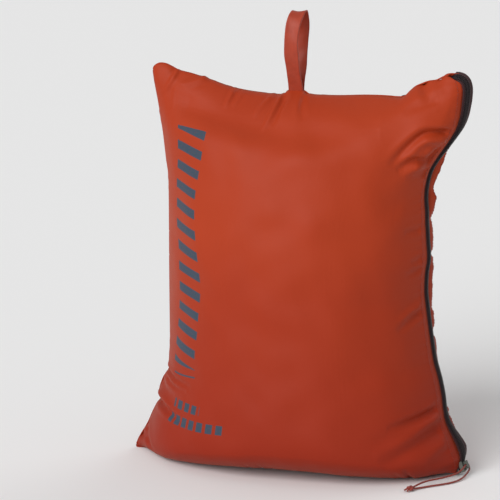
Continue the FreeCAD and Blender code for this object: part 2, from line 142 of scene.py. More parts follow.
def nylon(name, printed):
    """Thin satin nylon over soft filling; the flat pattern is its UV map.

    Its dye is a little uneven, and towards the floor it is painted darker and redder as painted shade.
    """
    shader = Shader(name, FABRIC, 0.52, 0.14)
    flat = shader.place("UV")
    solid = shader.place("Object")
    cloth = shader.mix(shader.noise(solid, 9.0, 2.0), FABRIC, FABRIC_WARM)
    height = shader.add("ShaderNodeSeparateXYZ")
    shader.link(solid, height.inputs[0])
    # Painted shade: below about 0.2 m the colour is mixed towards a darker, redder one, standing in for the
    # shade low on the pillow.
    deep = shader.math("SUBTRACT", 0.72, shader.math("MULTIPLY", height.outputs["Z"], 3.6), clamp=True)
    cloth = shader.mix(deep, cloth, FABRIC_PAINTED_SHADE)
    if printed:
        cloth = shader.mix(print_mask(shader, flat), cloth, PRINT)
    shader.link(cloth, shader.main.inputs["Base Color"])
    shader.main.inputs["Sheen Weight"].default_value = 0.08
    shader.main.inputs["Sheen Roughness"].default_value = 0.35
    shader.main.inputs["Sheen Tint"].default_value = FABRIC_SHEEN
    crinkle = shader.bump(shader.noise(solid, 120.0, 4.0), 0.22, 0.0006)
    shader.bump(weave(shader, flat, 0.45), 0.12, 0.00008, crinkle)
    return shader.material


def print_mask(shader, flat):
    """A stack of slanted bars, a thin stroke and two dashed rows: no lettering.

    Its places are metres on the flat cut panel.
    """
    parts = shader.add("ShaderNodeSeparateXYZ")
    shader.link(flat, parts.inputs[0])
    across, up = parts.outputs["X"], parts.outputs["Y"]
    tall = band(shader, up, 0.101, 0.306)
    slanted = shader.math("ADD", up, shader.math("MULTIPLY", across, 0.16))
    beat = shader.math("FRACT", shader.math("DIVIDE", slanted, 0.0171))
    bars = band(shader, beat, 0.05, 0.50, 0.012)
    wave = shader.math("MULTIPLY", shader.math("SINE", shader.math("MULTIPLY", up, 46.0)), 0.004)
    reach = shader.math("SUBTRACT", across, wave)
    column = shader.math("MULTIPLY", band(shader, reach, 0.030, 0.0635), tall)
    stack = shader.math("MULTIPLY", bars, column)
    stroke_line = shader.math("SUBTRACT", up, shader.math("MULTIPLY", across, 0.10))
    stroke_tall = band(shader, stroke_line, 0.0880, 0.0894)
    stroke = shader.math("MULTIPLY", stroke_tall, band(shader, across, 0.028, 0.060))
    mask = shader.math("MAXIMUM", stack, stroke)
    for low, high, start, end in ((0.0630, 0.0708, 0.036, 0.073), (0.0490, 0.0575, 0.034, 0.100)):
        row = shader.math("MULTIPLY", band(shader, up, low, high), band(shader, across, start, end))
        dash = band(shader, shader.math("FRACT", shader.math("DIVIDE", across, 0.0102)), 0.10, 0.76, 0.02)
        mask = shader.math("MAXIMUM", mask, shader.math("MULTIPLY", row, dash))
    worn = shader.math("MULTIPLY_ADD", shader.noise(shader.place("Object"), 700.0), 0.3)
    worn.node.inputs[2].default_value = 0.80
    return shader.math("MULTIPLY", mask, worn, clamp=True)


def woven(name, color, pitch, roughness=0.75, depth=0.00012):
    """Coarser woven or braided goods: tape, webbing, cord, thread."""
    shader = Shader(name, color, roughness, 0.3)
    solid = shader.place("Object")
    dark = tuple(0.72 * part for part in color[:3]) + (1,)
    shader.link(shader.mix(shader.noise(solid, 260.0), dark, color), shader.main.inputs["Base Color"])
    shader.main.inputs["Sheen Weight"].default_value = 0.08
    wave = shader.add("ShaderNodeTexWave", Scale=1 / (pitch * MM * 20), Distortion=0.6)
    shader.link(solid, wave.inputs["Vector"])
    shader.bump(wave.outputs["Fac"], 0.5, depth)
    return shader.material


def slider_metal():
    """Dark grey-green enamel over a zinc casting, worn at its edges."""
    shader = Shader("slider_metal", ENAMEL, 0.42, 0.35)
    shader.main.inputs["Metallic"].default_value = 0.4
    edge = shader.add("ShaderNodeNewGeometry").outputs["Pointiness"]
    worn = shader.math("MULTIPLY", shader.math("SUBTRACT", edge, 0.53), 9.0, clamp=True)
    color = shader.mix(worn, ENAMEL, (0.13, 0.14, 0.12, 1))
    shader.link(color, shader.main.inputs["Base Color"])
    shader.bump(shader.noise(shader.place(), 900.0), 0.15, 0.00005)
    return shader.material


def coil_plastic():
    """Dyed nylon monofilament: near black with a small grey glint."""
    shader = Shader("coil_plastic", COIL, 0.38, 0.28)
    shade = shader.mix(shader.noise(shader.place(), 400.0), COIL, (0.022, 0.014, 0.016, 1))
    shader.link(shade, shader.main.inputs["Base Color"])
    shader.bump(shader.noise(shader.place(), 1500.0), 0.1, 0.00003)
    return shader.material


SHELL = nylon("shell_nylon_printed", True)
SHELL_PLAIN = nylon("shell_nylon", False)
LOOP_FABRIC = woven("loop_nylon", (0.37, 0.042, 0.015, 1), 0.7, 0.5, 0.00006)
TAPE_CLOTH = woven("zipper_tape_cloth", TAPE, 0.8)
CORD_BRAID = woven("pull_cord_braid", CORD, 0.6, 0.6, 0.0001)
STITCHING = woven("sewing_thread", THREAD, 0.4, 0.55, 0.00004)
DARK_STITCHING = woven("dark_sewing_thread", TAPE, 0.4, 0.6, 0.00004)
FILL = woven("synthetic_fill", (0.62, 0.60, 0.57, 1), 3.0, 0.95, 0.0004)
LINING = woven("lining_cloth", (0.16, 0.20, 0.23, 1), 0.6, 0.55, 0.00005)
COIL_PLASTIC = coil_plastic()
SLIDER_METAL = slider_metal()


# --------------------------------------------------------------------- meshes
def mesh_piece(name, points, faces, material, body):
    """An object from points in mm; it rides on a body of the frame."""
    mesh = bpy.data.meshes.new(name)
    mesh.from_pydata((np.asarray(points) * MM).tolist(), [], [list(map(int, face)) for face in faces])
    mesh.validate()
    mesh.materials.append(material)
    mesh.polygons.foreach_set("use_smooth", [True] * len(mesh.polygons))
    piece = bpy.data.objects.new(name, mesh)
    bpy.context.scene.collection.objects.link(piece)
    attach(piece, body)
    return piece


def unit(vectors):
    return vectors / np.maximum(np.linalg.norm(vectors, axis=-1, keepdims=True), 1e-9)


def smooth_path(points, count):
    """Evenly spaced points on a Catmull-Rom curve through given ones."""
    points = np.asarray(points, float)
    padded = np.vstack([2 * points[0] - points[1], points, 2 * points[-1] - points[-2]])
    dense = []
    for index in range(len(points) - 1):
        p0, p1, p2, p3 = padded[index:index + 4]
        for t in np.linspace(0, 1, 40, endpoint=False):
            dense.append(0.5 * (2 * p1 + (p2 - p0) * t + (2 * p0 - 5 * p1 + 4 * p2 - p3) * t ** 2
                                + (3 * p1 - p0 - 3 * p2 + p3) * t ** 3))
    dense.append(points[-1])
    dense = np.array(dense)
    run = np.r_[0, np.cumsum(np.linalg.norm(np.diff(dense, axis=0), axis=1))]
    even = np.linspace(0, run[-1], count)
    return np.stack([np.interp(even, run, dense[:, axis]) for axis in range(dense.shape[1])], axis=1)


# -------------------------------------------------------- outline of the pocket
# Points of the sewn seams of the front view, as (X, Z).
LEFT_SEAM = [(-145.6, 0.8), (-144.0, 7), (-140.2, 14), (-135.4, 22), (-131.4, 31), (-127.6, 39),
             (-124.6, 43.5), (-122.2, 46.6), (-123.9, 50), (-124.2, 54.5), (-121.2, 63), (-117.6, 69),
             (-114.6, 73.6), (-114.9, 84), (-114.6, 98), (-114.8, 131), (-114.9, 166), (-114.9, 200),
             (-115.2, 236), (-116.9, 250), (-118.4, 263), (-119.6, 273), (-121.6, 286), (-124.2, 302),
             (-126.2, 312), (-127.7, 321), (-128.0, 328)]
TOP_SEAM = [(-128.0, 328), (-125.8, 330.6), (-122.3, 331.9), (-117.0, 331.6), (-112.0, 329.6),
            (-106.8, 327.0), (-96.4, 324.7), (-84.3, 321.6), (-70.4, 317.4), (-56.6, 314.0),
            (-36.0, 311.4), (-16.0, 310.8), (-12.8, 313.4), (-8.7, 314.9), (1.0, 315.0), (3.2, 312.8),
            (11, 311.8), (32, 312.2), (53, 313.6), (70, 314.0), (84, 313.8), (88.9, 316.6), (93.0, 321.2),
            (98.8, 324.6), (107.1, 327.9), (113.4, 329.0), (115.9, 329.4), (118.0, 332.0), (121.0, 333.8),
            (125.4, 333.6), (129.0, 332.4)]
BOTTOM_SEAM = [(-145.6, 0.8), (-118, 0.8), (-88, 1.6), (-45, 3.6), (-20, 5.0), (0, 5.0), (25, 4.2),
               (52, 2.6), (80, 1.2), (104, 0.8), (122, 1.2), (136.6, 1.4)]
# Middle of the zipper chain, from the floor up the side to the top ear.
ZIP_SEAM = [(136.6, 1.4), (137.5, 4.6), (138.2, 8), (139.0, 12.5), (139.3, 18), (137.6, 24.6),
            (133.4, 32.4), (129.2, 39.6), (125.8, 47), (123.6, 56), (122.0, 68), (119.0, 82),
            (114.9, 96), (112.4, 110), (110.3, 124), (108.2, 139), (106.4, 154), (106.7, 169),
            (108.3, 182), (107.3, 198), (106.4, 212), (106.2, 220), (105.3, 232), (106.2, 243),
            (109.4, 255), (115.2, 265), (121.0, 273), (126.0, 280), (131.2, 288), (133.8, 294),
            (135.9, 301), (137.1, 309), (137.9, 317), (137.9, 323), (136.5, 328), (133.4, 331.2),
            (129.0, 332.4)]
# Beyond the ear the zipper runs on behind the top seam, as (X, Y, Z).
ZIP_BEHIND = [(129.0, 0, 332.4), (123, 4.6, 330.6), (114, 7.8, 325.6), (104, 9.0, 319.4),
              (95, 8.4, 313.6), (89, 7.2, 310.8), (84.5, 6.2, 309.4)]
COLUMNS = 132
ROWS = 156
PANEL_WIDE = 303.0               # the panels laid flat, between their seams
PANEL_TALL = 350.0
FABRIC_THICK = 0.5
LOFT = 92.0                      # half depth of the filling far from any seam
LEFT_SOFTNESS = 50               # the mm over which it rises from each seam
FOOT_FIRMNESS = 26               # what the left softness loses at the floor
FOOT_REACH = 22
ZIP_SOFTNESS = 47
TOP_SOFTNESS = 45
BOTTOM_SOFTNESS = 11
EAR_HEIGHT = 322                 # the zipper turns over the ear above this
SAG = 9.0                        # how far the filling sags onto the floor
WIGGLE_REACH = 16.0              # how far a seam's wiggles reach into a panel
SETTLE_STEPS = 160
SPEED_KEPT = 0.88                # per step of the settling fabric
PRESSURE = 0.05
WEIGHT = 0.004
SQUEEZE = 0.55                   # how far a pressed row of fabric resists
SMOOTHING = 0.16
EASE_WIDE = 1.003
EASE_TALL = 1.006
# Along the zipper: share of its length, turn towards the front in degrees,
# and half the gap between the panels' edges.
ZIP_TWIST = [(0, 4, 3.7), (0.03, 12, 3.7), (0.065, 40, 3.7), (0.11, 20, 3.5), (0.16, 6, 3.35),
             (0.3, 3, 3.3), (0.6, 3, 3.3), (0.76, 5, 3.3), (0.82, 14, 3.5), (0.88, 34, 3.8),
             (0.93, 44, 3.9), (1.0, 46, 3.8)]


class Band:
    """The zipper's middle line with the directions out of and across it."""

    def __init__(self, path, turn, gap):
        self.path = path
        self.along = unit(np.gradient(path, axis=0))
        flat_out = unit(np.cross([0, 1.0, 0], self.along))
        turn = np.radians(turn)[:, None]
        self.out = flat_out * np.cos(turn) - np.array([0, 1.0, 0]) * np.sin(turn)
        self.across = flat_out * np.sin(turn) + np.array([0, 1.0, 0]) * np.cos(turn)
        self.gap = gap

    def place(self, across, out):
        return self.path + self.across * across + self.out * out

    def sample(self, distance):
        """Middle, out and across at distances along the line."""
        run = np.r_[0, np.cumsum(np.linalg.norm(np.diff(self.path, axis=0), axis=1))]
        parts = []
        for values in (self.path, self.out, self.across):
            parts.append(np.stack([np.interp(distance, run, values[:, axis]) for axis in range(3)], axis=1))
        return parts[0], unit(parts[1]), unit(parts[2])


def lifted(seam, count):
    """A seam of the front view as even points of space, at Y = 0."""
    flat = smooth_path(seam, count)
    return np.stack([flat[:, 0], np.zeros(count), flat[:, 1]], axis=1)


def side_band(count):
    """The zipper up the side, from the floor to the top ear."""
    share, turn, gap = np.array(ZIP_TWIST, float).T
    even = np.linspace(0, 1, count)
    return Band(lifted(ZIP_SEAM, count), np.interp(even, share, turn), np.interp(even, share, gap))


def calm(seam, passes=260):
    """The seam without its small wiggles; its two ends stay."""
    line = seam.copy()
    for step in range(passes):
        line[1:-1] += 0.5 * ((line[2:] + line[:-2]) / 2 - line[1:-1])
    return line


LEFT = lifted(LEFT_SEAM, ROWS + 1)
TOP = lifted(TOP_SEAM, COLUMNS + 1)
BOTTOM = lifted(BOTTOM_SEAM, COLUMNS + 1)
ZIP = side_band(ROWS + 1)
CALM_LEFT, CALM_TOP, CALM_BOTTOM = calm(LEFT), calm(TOP), calm(BOTTOM)


def softened(distance):
    """A distance in mm, rounded off so that it stays above zero."""
    return (distance + np.hypot(distance, 3)) / 2


def filling(x, z):
    """Half depth of the stuffed blanket at a place of the front view."""
    rising = ZIP.path[:, 2] < EAR_HEIGHT
    left_softness = LEFT_SOFTNESS - FOOT_FIRMNESS * np.exp(-z / FOOT_REACH)
    gaps = (
        (x - np.interp(z, CALM_LEFT[:, 2], CALM_LEFT[:, 0]), left_softness),
        (np.interp(z, ZIP.path[rising, 2], ZIP.path[rising, 0]) - x, ZIP_SOFTNESS),
        (np.interp(x, CALM_TOP[:, 0], CALM_TOP[:, 2]) - z, TOP_SOFTNESS),
        (z - np.interp(x, CALM_BOTTOM[:, 0], CALM_BOTTOM[:, 2]), BOTTOM_SOFTNESS),
    )
    depth = LOFT
    for gap, softness in gaps:
        depth = depth * (1 - np.exp(-softened(gap) / softness))
    return depth


def first_shape():
    """Both panels over the filling: index 0 is the front, 1 the back.

    Inside, the panels follow the calmed seams; the wiggles die out near them.
    """
    s = np.linspace(0, 1, COLUMNS + 1)[None, :, None]
    t = np.linspace(0, 1, ROWS + 1)[:, None, None]
    ramp = np.clip((np.linspace(0, 1, COLUMNS + 1) - 0.93) / 0.07, 0, 1)[:, None] ** 2
    panels = []
    for side in (-1, 1):
        right = ZIP.place(side * ZIP.gap[:, None], -0.7)
        top = TOP + ramp * (right[-1] - TOP[-1])
        bottom = BOTTOM + ramp * (right[0] - BOTTOM[-1])
        corners = ((1 - s) * (1 - t) * bottom[0] + s * (1 - t) * bottom[-1]
                   + (1 - s) * t * top[0] + s * t * top[-1])
        calm_top, calm_bottom, calm_left, calm_right = (calm(seam) for seam in (top, bottom, LEFT, right))
        panel = ((1 - t) * calm_bottom[None] + t * calm_top[None]
                 + (1 - s) * calm_left[:, None] + s * calm_right[:, None] - corners)
        wiggles = (
            ((bottom - calm_bottom)[None], t * PANEL_TALL),
            ((top - calm_top)[None], (1 - t) * PANEL_TALL),
            ((LEFT - calm_left)[:, None], s * PANEL_WIDE),
            ((right - calm_right)[:, None], (1 - s) * PANEL_WIDE),
        )
        for wiggle, distance in wiggles:
            panel = panel + wiggle * np.exp(-distance / WIGGLE_REACH)
        depth = filling(panel[..., 0], panel[..., 2])
        depth[0] = depth[-1] = 0
        depth[:, 0] = depth[:, -1] = 0
        panel[..., 1] += side * depth
        height = np.maximum(panel[..., 2], 0)
        drop = SAG * (1 - np.exp(-height / 6)) * np.exp(-height / 40) * np.clip(depth / 25, 0, 1)
        panel[1:, :, 2] = np.maximum(panel[1:, :, 2] - drop[1:], 0.6)
        panels.append(panel)
    return np.stack(panels)


def cut_lengths(cloth, axis, ease):
    """Distances between neighbours in the first shape, with a little ease."""
    return ease * np.linalg.norm(np.diff(np.moveaxis(cloth, axis, 0), axis=0), axis=-1, keepdims=True)


def tighten(cloth, axis, rest, squeeze):
    """Bring neighbours along one direction back towards their rest distance."""
    view = np.moveaxis(cloth, axis, 0)
    for first in (0, 1):
        high = view[first + 1::2]
        low = view[first:first + 2 * len(high):2]
        gap = high - low
        length = np.linalg.norm(gap, axis=-1, keepdims=True)
        share = 0.5 * (length - rest[first::2]) / length
        move = gap * np.where(share < 0, share * squeeze, share)
        low += move
        high -= move


def outward(cloth):
    """Unit normals of both panels, away from the filling."""
    wide = np.gradient(cloth, axis=2)
    tall = np.gradient(cloth, axis=1)
    normal = unit(np.cross(wide, tall))
    normal[1] *= -1
    return normal


def play(rows, columns):
    """How far a point may slip from the first shape, in mm: less near a seam."""
    row, column = np.mgrid[0:rows, 0:columns]
    across = np.minimum(column, columns - 1 - column) * PANEL_WIDE / (columns - 1)
    upward = np.minimum(row, rows - 1 - row) * PANEL_TALL / (rows - 1)
    return 0.2 + 5.0 * (1 - np.exp(-np.minimum(across, upward) / 28))


def settle(cloth, steps):
    """Fabric dynamics: pressed out by the filling, held along its seams.

    It stays near the first shape, so that the drawn outline is kept.
    """
    home = cloth.copy()
    held = np.zeros(cloth.shape[1:3], bool)
    held[0] = held[-1] = True
    held[:, 0] = held[:, -1] = True
    rest_wide = cut_lengths(cloth, 2, EASE_WIDE)
    rest_tall = cut_lengths(cloth, 1, EASE_TALL)
    side = np.array([-1, 1])[:, None, None]
    room = play(*cloth.shape[1:3])
    deep = home[..., 1] * side
    cloth = cloth + RANDOM.normal(0, 0.25, cloth.shape)
    previous = cloth.copy()
    for step in range(steps):
        speed = (cloth - previous) * SPEED_KEPT
        previous = cloth.copy()
        cloth = cloth + speed + outward(cloth) * PRESSURE
        cloth[..., 2] -= WEIGHT
        for sweep in range(3):
            tighten(cloth, 2, rest_wide, SQUEEZE)
            tighten(cloth, 1, rest_tall, SQUEEZE)
        inner = cloth[:, 1:-1, 1:-1]
        mean = (cloth[:, 2:, 1:-1] + cloth[:, :-2, 1:-1] + cloth[:, 1:-1, 2:] + cloth[:, 1:-1, :-2]) / 4
        inner += (mean - inner) * SMOOTHING
        cloth[..., 1] = side * np.clip(cloth[..., 1] * side, 0.97 * deep - 0.8, deep + 2.4)
        for axis in (0, 2):
            cloth[..., axis] = np.clip(cloth[..., axis], home[..., axis] - room, home[..., axis] + room)
        cloth[..., 2] = np.maximum(cloth[..., 2], 0.5)
        cloth[:, held] = home[:, held]
    return cloth


def refine(cloth):
    """Twice as many rows and columns, on a smooth surface through the old."""
    for axis in (1, 2):
        view = np.moveaxis(cloth, axis, 0)
        padded = np.concatenate([2 * view[:1] - view[1:2], view, 2 * view[-1:] - view[-2:-1]])
        between = (9 * (padded[1:-2] + padded[2:-1]) - padded[:-3] - padded[3:]) / 16
        finer = np.empty((2 * len(view) - 1,) + view.shape[1:])
        finer[0::2] = view
        finer[1::2] = between
        cloth = np.moveaxis(finer, 0, axis)
    return cloth


def wander(count, pitch, spread):
    """Phase of uneven gathers along a seam: one turn for each pucker."""
    steps = 1 / pitch * (1 + spread * RANDOM.uniform(-1, 1, count))
    kernel = np.ones(9) / 9
    return np.cumsum(np.convolve(steps, kernel, "same")) * 2 * math.pi


def gather(cloth):
    """Small puckers where the fabric is sewn, fading away from the seams."""
    rows, columns = cloth.shape[1:3]
    row, column = np.mgrid[0:rows, 0:columns]
    step_wide = PANEL_WIDE / (columns - 1)
    step_tall = PANEL_TALL / (rows - 1)
    normal = outward(cloth)
    for side in (0, 1):
        seams = (
            (column * step_wide, row, step_tall, 10.0, 0.16, 9.0),
            ((columns - 1 - column) * step_wide, row, step_tall, 8.0, 0.30, 7.0),
            ((rows - 1 - row) * step_tall, column, step_wide, 14.0, 0.14, 8.0),
            (row * step_tall, column, step_wide, 12.0, 0.25, 9.0),
        )
        lift = np.zeros((rows, columns))
        for distance, along, step, pitch, tall, reach in seams:
            count = max(rows, columns)
            phase = wander(count, pitch / step, 0.7)
            strength = tall * (0.5 + 0.5 * np.sin(np.cumsum(RANDOM.normal(0, 0.06, count)) + 1))
            ripple = np.sin(phase)[along] * strength[along]
            lift += ripple * np.exp(-distance / reach) * np.clip(distance / 2.5, 0, 1)
        cloth[side] += normal[side] * lift[..., None]
    return cloth


def undulate(cloth):
    """Soft uneven filling under the fabric: long low waves, none at the seams."""
    rows, columns = cloth.shape[1:3]
    row, column = np.mgrid[0:rows, 0:columns]
    across = column * PANEL_WIDE / (columns - 1)
    upward = row * PANEL_TALL / (rows - 1)
    edge = np.minimum(np.minimum(across, PANEL_WIDE - across), np.minimum(upward, PANEL_TALL - upward))
    normal = outward(cloth)
    for side in (0, 1):
        lift = np.zeros((rows, columns))
        for wave in range(22):
            length = RANDOM.uniform(22, 75)
            way = RANDOM.uniform(0, math.pi)
            run = across * math.cos(way) + upward * math.sin(way)
            bend = 0.35 * length * np.sin(upward / 61 + across / 83 + wave)
            lift += length / 330 * np.sin(2 * math.pi * (run + bend) / length + RANDOM.uniform(0, 6))
        cloth[side] += normal[side] * (lift * (1 - np.exp(-edge / 22)))[..., None]
    return cloth


# How far the back panel swells past the zipper, as (Z, mm).
BACK_SWELL = [(0, 0), (30, 0.3), (38, 1.2), (44, 1.8), (50, 0.5), (53, 2.6), (58, 0.8), (70, 0.4),
              (84, 0.3), (96, 1.0), (108, 2.2), (116, 1.2), (118, 0.2), (124, 2.8), (134, 3.4), (139, 2.2),
              (146, 3.6), (156, 4.6), (166, 4.2), (172, 4.8), (180, 3.4), (184, 1.2), (190, 3.4),
              (200, 4.0), (210, 3.6), (213, 2.2), (218, 4.2), (226, 6.6), (232, 7.8), (236, 6.2),
              (240, 4.6), (246, 5.2), (254, 6.6), (262, 5.4), (270, 2.6), (280, 1.0), (292, 0.3), (330, 0)]


def swell(cloth):
    """The back panel stands a little proud of the zipper half way up."""
    rows, columns = cloth.shape[1:3]
    distance = np.arange(columns)[::-1] * PANEL_WIDE / (columns - 1)
    bump = distance / 5.0 * np.exp(1 - distance / 5.0)
    height = cloth[1, :, -1, 2]
    amount = np.interp(height, *np.array(BACK_SWELL, float).T)
    cloth[1, ..., 0] += amount[:, None] * bump[None]
    cloth[1, ..., 1] += 0.35 * amount[:, None] * bump[None]
    return cloth


# Creases of the front panel: points (X, Z) along each, its width and depth.
# A negative depth is a ridge.
CREASES = [
    ([(128, 288), (112, 289.5), (104, 285), (93, 274), (84, 262)], 3.2, 4.6),
    ([(124, 284), (112, 284), (103, 279), (93, 268)], 3.0, -2.0),
    ([(119, 274), (111, 265.5), (101, 266.5), (88, 259)], 3.0, 4.2),
    ([(114, 266), (109, 259), (106, 250)], 3.6, 3.6),
    ([(110, 262), (100, 259), (92, 252)], 3.4, -1.8),
    ([(117, 315), (105, 311), (90, 305)], 3.0, 1.3),
    ([(101, 326), (106, 320), (112, 315)], 3.6, 2.2),
    ([(104, 207), (94, 208)], 2.6, 1.5),
    ([(107, 184), (99, 181)], 2.6, 1.5),
    ([(105, 175), (96, 171)], 2.6, 1.4),
    ([(109, 141), (101, 136), (92, 126)], 2.6, 2.2),
    ([(109, 147), (101, 143), (93, 134)], 3.0, -1.0),
    ([(122, 60), (112, 55), (100, 52), (88, 50)], 3.0, 2.8),
    ([(121, 52), (108, 44), (94, 36), (78, 28)], 5.0, -2.2),
    ([(124, 45), (112, 35), (98, 26), (84, 20)], 5.0, 2.4),
    ([(130, 34), (120, 24), (112, 14)], 4.0, -1.4),
    ([(-122, 47.5), (-111, 47), (-98, 44), (-88, 41)], 2.4, 3.0),
    ([(-124, 52), (-112, 52), (-100, 49)], 3.0, -1.4),
    ([(-115, 74), (-104, 73), (-92, 72), (-79, 72)], 2.2, 2.8),
    ([(-113, 69), (-98, 67), (-84, 68)], 2.2, 1.8),
    ([(-113, 71.5), (-98, 70), (-84, 70)], 1.8, -1.0),
    ([(-120, 62), (-108, 60), (-98, 60)], 2.8, 1.2),
    ([(-141, 12), (-132, 14), (-124, 8)], 2.4, 1.8),
    ([(-134, 22), (-128, 14), (-120, 6)], 2.6, 1.2),
    ([(-106, 327), (-111, 318), (-117, 309)], 1.8, -1.6),
    ([(-82, 321), (-92, 318.5), (-103, 316.5)], 1.8, -1.2),
    ([(-57, 312.5), (-60, 303)], 1.7, -1.2),
    ([(-49, 310), (-54, 304)], 1.7, -0.8),
    ([(-24, 309), (-29, 304), (-34, 298)], 1.8, -1.3),
    ([(-15, 310), (-19, 300), (-24, 288)], 1.9, -1.6),
    ([(-11, 309), (-14, 299), (-17, 292)], 1.9, 1.0),
    ([(3, 311), (6, 303), (10, 296)], 2.2, 1.0),
    ([(-108, 306), (-60, 297), (-10, 288), (40, 287), (74, 292)], 11.0, 5.0),
    ([(-29, 3), (-28, 14)], 1.6, 1.1),
    ([(-19, 3), (-17, 15)], 1.6, 1.2),
    ([(-8, 3), (-9, 12)], 1.6, 1.0),
    ([(101, 2), (102, 8), (101, 15)], 2.2, 2.4),
    ([(95, 2), (94, 12)], 2.2, 0.9),
]


# Creases of the back panel, in the same way.
BACK_CREASES = [
    ([(126, 300), (112, 292), (96, 280)], 4.0, 3.4),
    ([(117, 272), (104, 262), (88, 256)], 3.6, 3.0),
    ([(108, 236), (96, 233), (84, 232)], 3.0, 2.0),
    ([(108, 176), (98, 170), (86, 168)], 3.0, 2.0),
    ([(111, 118), (100, 112), (88, 110)], 3.0, 2.2),
    ([(124, 56), (110, 48), (94, 44)], 3.6, 2.8),
    ([(-122, 300), (-108, 292), (-92, 280)], 4.0, 2.8),
    ([(-113, 84), (-98, 80), (-80, 80)], 3.2, 2.6),
    ([(-123, 47), (-108, 44), (-92, 38)], 3.4, 3.0),
    ([(-70, 314), (-66, 300), (-60, 286)], 3.2, 1.8),
    ([(12, 310), (16, 296), (24, 284)], 3.0, 1.8),
    ([(52, 311), (50, 298), (44, 288)], 3.0, 1.6),
    ([(-100, 304), (-50, 296), (0, 288), (60, 290), (90, 300)], 11.0, 3.6),
]


def crease(cloth, side, creases):
    """Cut the valleys, each with a faint ridge beside it, and the ridges.

    They follow the fabric's normal and die out at the zipper's tape.
    """
    panel = cloth[side]
    inward = -outward(cloth)[side]
    last = panel.shape[1] - 1
    from_zipper = (last - np.arange(last + 1)[None]) * PANEL_WIDE / last
    fade = np.broadcast_to(np.clip(from_zipper / 7.0, 0, 1) ** 1.5, panel.shape[:2])
    for line, width, deep in creases:
        line = smooth_path(line, 30)
        line = smooth_path(line, 2 + int(np.linalg.norm(np.diff(line, axis=0), axis=1).sum()))
        place = panel[..., (0, 2)]
        reach = 4 * width
        near = np.all((place > line.min(axis=0) - reach) & (place < line.max(axis=0) + reach), axis=-1)
        gap = np.linalg.norm(place[near][:, None] - line[None], axis=-1)
        nearest = gap.argmin(axis=1)
        distance = gap[np.arange(len(gap)), nearest]
        share = nearest / (len(line) - 1)
        taper = (1 - share) ** 0.6 * np.clip(share * 7 + 0.45, 0, 1)
        profile = np.exp(-(distance / width) ** 2) - 0.3 * np.exp(-((distance - 2 * width) / width) ** 2)
        panel[near] += inward[near] * (deep * taper * profile * fade[near])[:, None]
    return cloth


def grid_faces(rows, columns, flip=False):
    """Four-sided faces between the points of a grid."""
    index = np.arange(rows * columns).reshape(rows, columns)
    corners = [index[:-1, :-1], index[:-1, 1:], index[1:, 1:], index[1:, :-1]]
    quads = np.stack(corners, axis=-1).reshape(-1, 4)
    return quads[:, ::-1] if flip else quads


def thicken(piece, thickness, offset=-1):
    """Give a sheet its thickness, inwards from its face unless offset is 0."""
    thick = piece.modifiers.new("thickness", "SOLIDIFY")
    thick.thickness = thickness * MM
    thick.offset = offset
    return piece


def panel_piece(name, points, material, flip):
    """One panel of the pocket, with its flat cut as the UV map."""
    rows, columns = points.shape[:2]
    piece = mesh_piece(name, points.reshape(-1, 3), grid_faces(rows, columns, flip), material,
                       "pocket")
    u, v = np.meshgrid(np.linspace(0, PANEL_WIDE, columns), np.linspace(0, PANEL_TALL, rows))
    flat = np.stack([u, v], axis=-1).reshape(-1, 2) * MM
    layer = piece.data.uv_layers.new(name="flat_cut")
    corner = np.empty(len(piece.data.loops), int)
    piece.data.loops.foreach_get("vertex_index", corner)
    layer.data.foreach_set("uv", flat[corner].ravel())
    return thicken(piece, FABRIC_THICK)


def pocket():
    """Both panels and the piping of their seam; returns the panels' points."""
    cloth = first_shape()
    cloth = settle(cloth, SETTLE_STEPS)
    cloth = swell(gather(undulate(refine(cloth))))
    cloth = crease(crease(cloth, 0, CREASES), 1, BACK_CREASES)
    cloth[..., 2] = np.maximum(cloth[..., 2], 0.3)
    front = panel_piece("pocket_front", cloth[0], SHELL, False)
    back = panel_piece("pocket_back", cloth[1], SHELL_PLAIN, True)
    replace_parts(front, "pocket_front_panel")
    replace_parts(back, "pocket_back_panel")
    ridge = np.concatenate([BOTTOM[-4:0:-1], LEFT, TOP[1:-3]])
    points, faces = swept(smooth_path(ridge[::3], 700), 0.65, 8)
    seam = mesh_piece("pocket_seam", points, faces, SHELL_PLAIN, "pocket")
    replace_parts(seam, "seam_allowance")
    return cloth


# --------------------------------------------------------------------- zipper
class Pile:
    """Many small swept shapes gathered into one mesh."""

    def __init__(self):
        self.points, self.faces = [], []

    def add(self, path, radius, ring=6):
        points, faces = swept(np.asarray(path), radius, ring)
        start = len(self.points)
        self.points.extend(points)
        self.faces.extend([tuple(start + corner for corner in face) for face in faces])

    def piece(self, name, material, body, slot_name):
        return mesh_piece(name, self.points, self.faces, material, body)


SIDE_POINTS = 600
BEHIND_POINTS = 109


def whole_band():
    """The band up the side, over the ear and on behind the top seam."""
    side = side_band(SIDE_POINTS)
    behind = smooth_path(ZIP_BEHIND, BEHIND_POINTS + 1)[1:]
    path = np.concatenate([side.path, behind])
    side_turn = np.interp(np.linspace(0, 1, SIDE_POINTS), *np.array(ZIP_TWIST, float)[:, :2].T)
    behind_turn = np.interp(np.linspace(0, 1, BEHIND_POINTS), [0, 0.35, 1], [46, -40, -70])
    gap = np.concatenate([side.gap, np.full(BEHIND_POINTS, side.gap[-1])])
    return Band(path, np.concatenate([side_turn, behind_turn]), gap)


# Cross-section of a tape from under the panel to the middle: share of the
# gap, extra mm, and height over the band.
TAPE_SECTION = [(1, 2.2, -1.7), (1, 0.6, -1.5), (1, -0.5, -0.9), (0.7, 0, -0.45), (0, 1.9, -0.25),
                (0, 0.15, -0.15)]
TAPE_THICK = 0.5
TOOTH_PITCH = 1.32
TOOTH_RADIUS = 0.43
TOOTH_LEAN = 0.28                # along the chain, at each end of a tooth
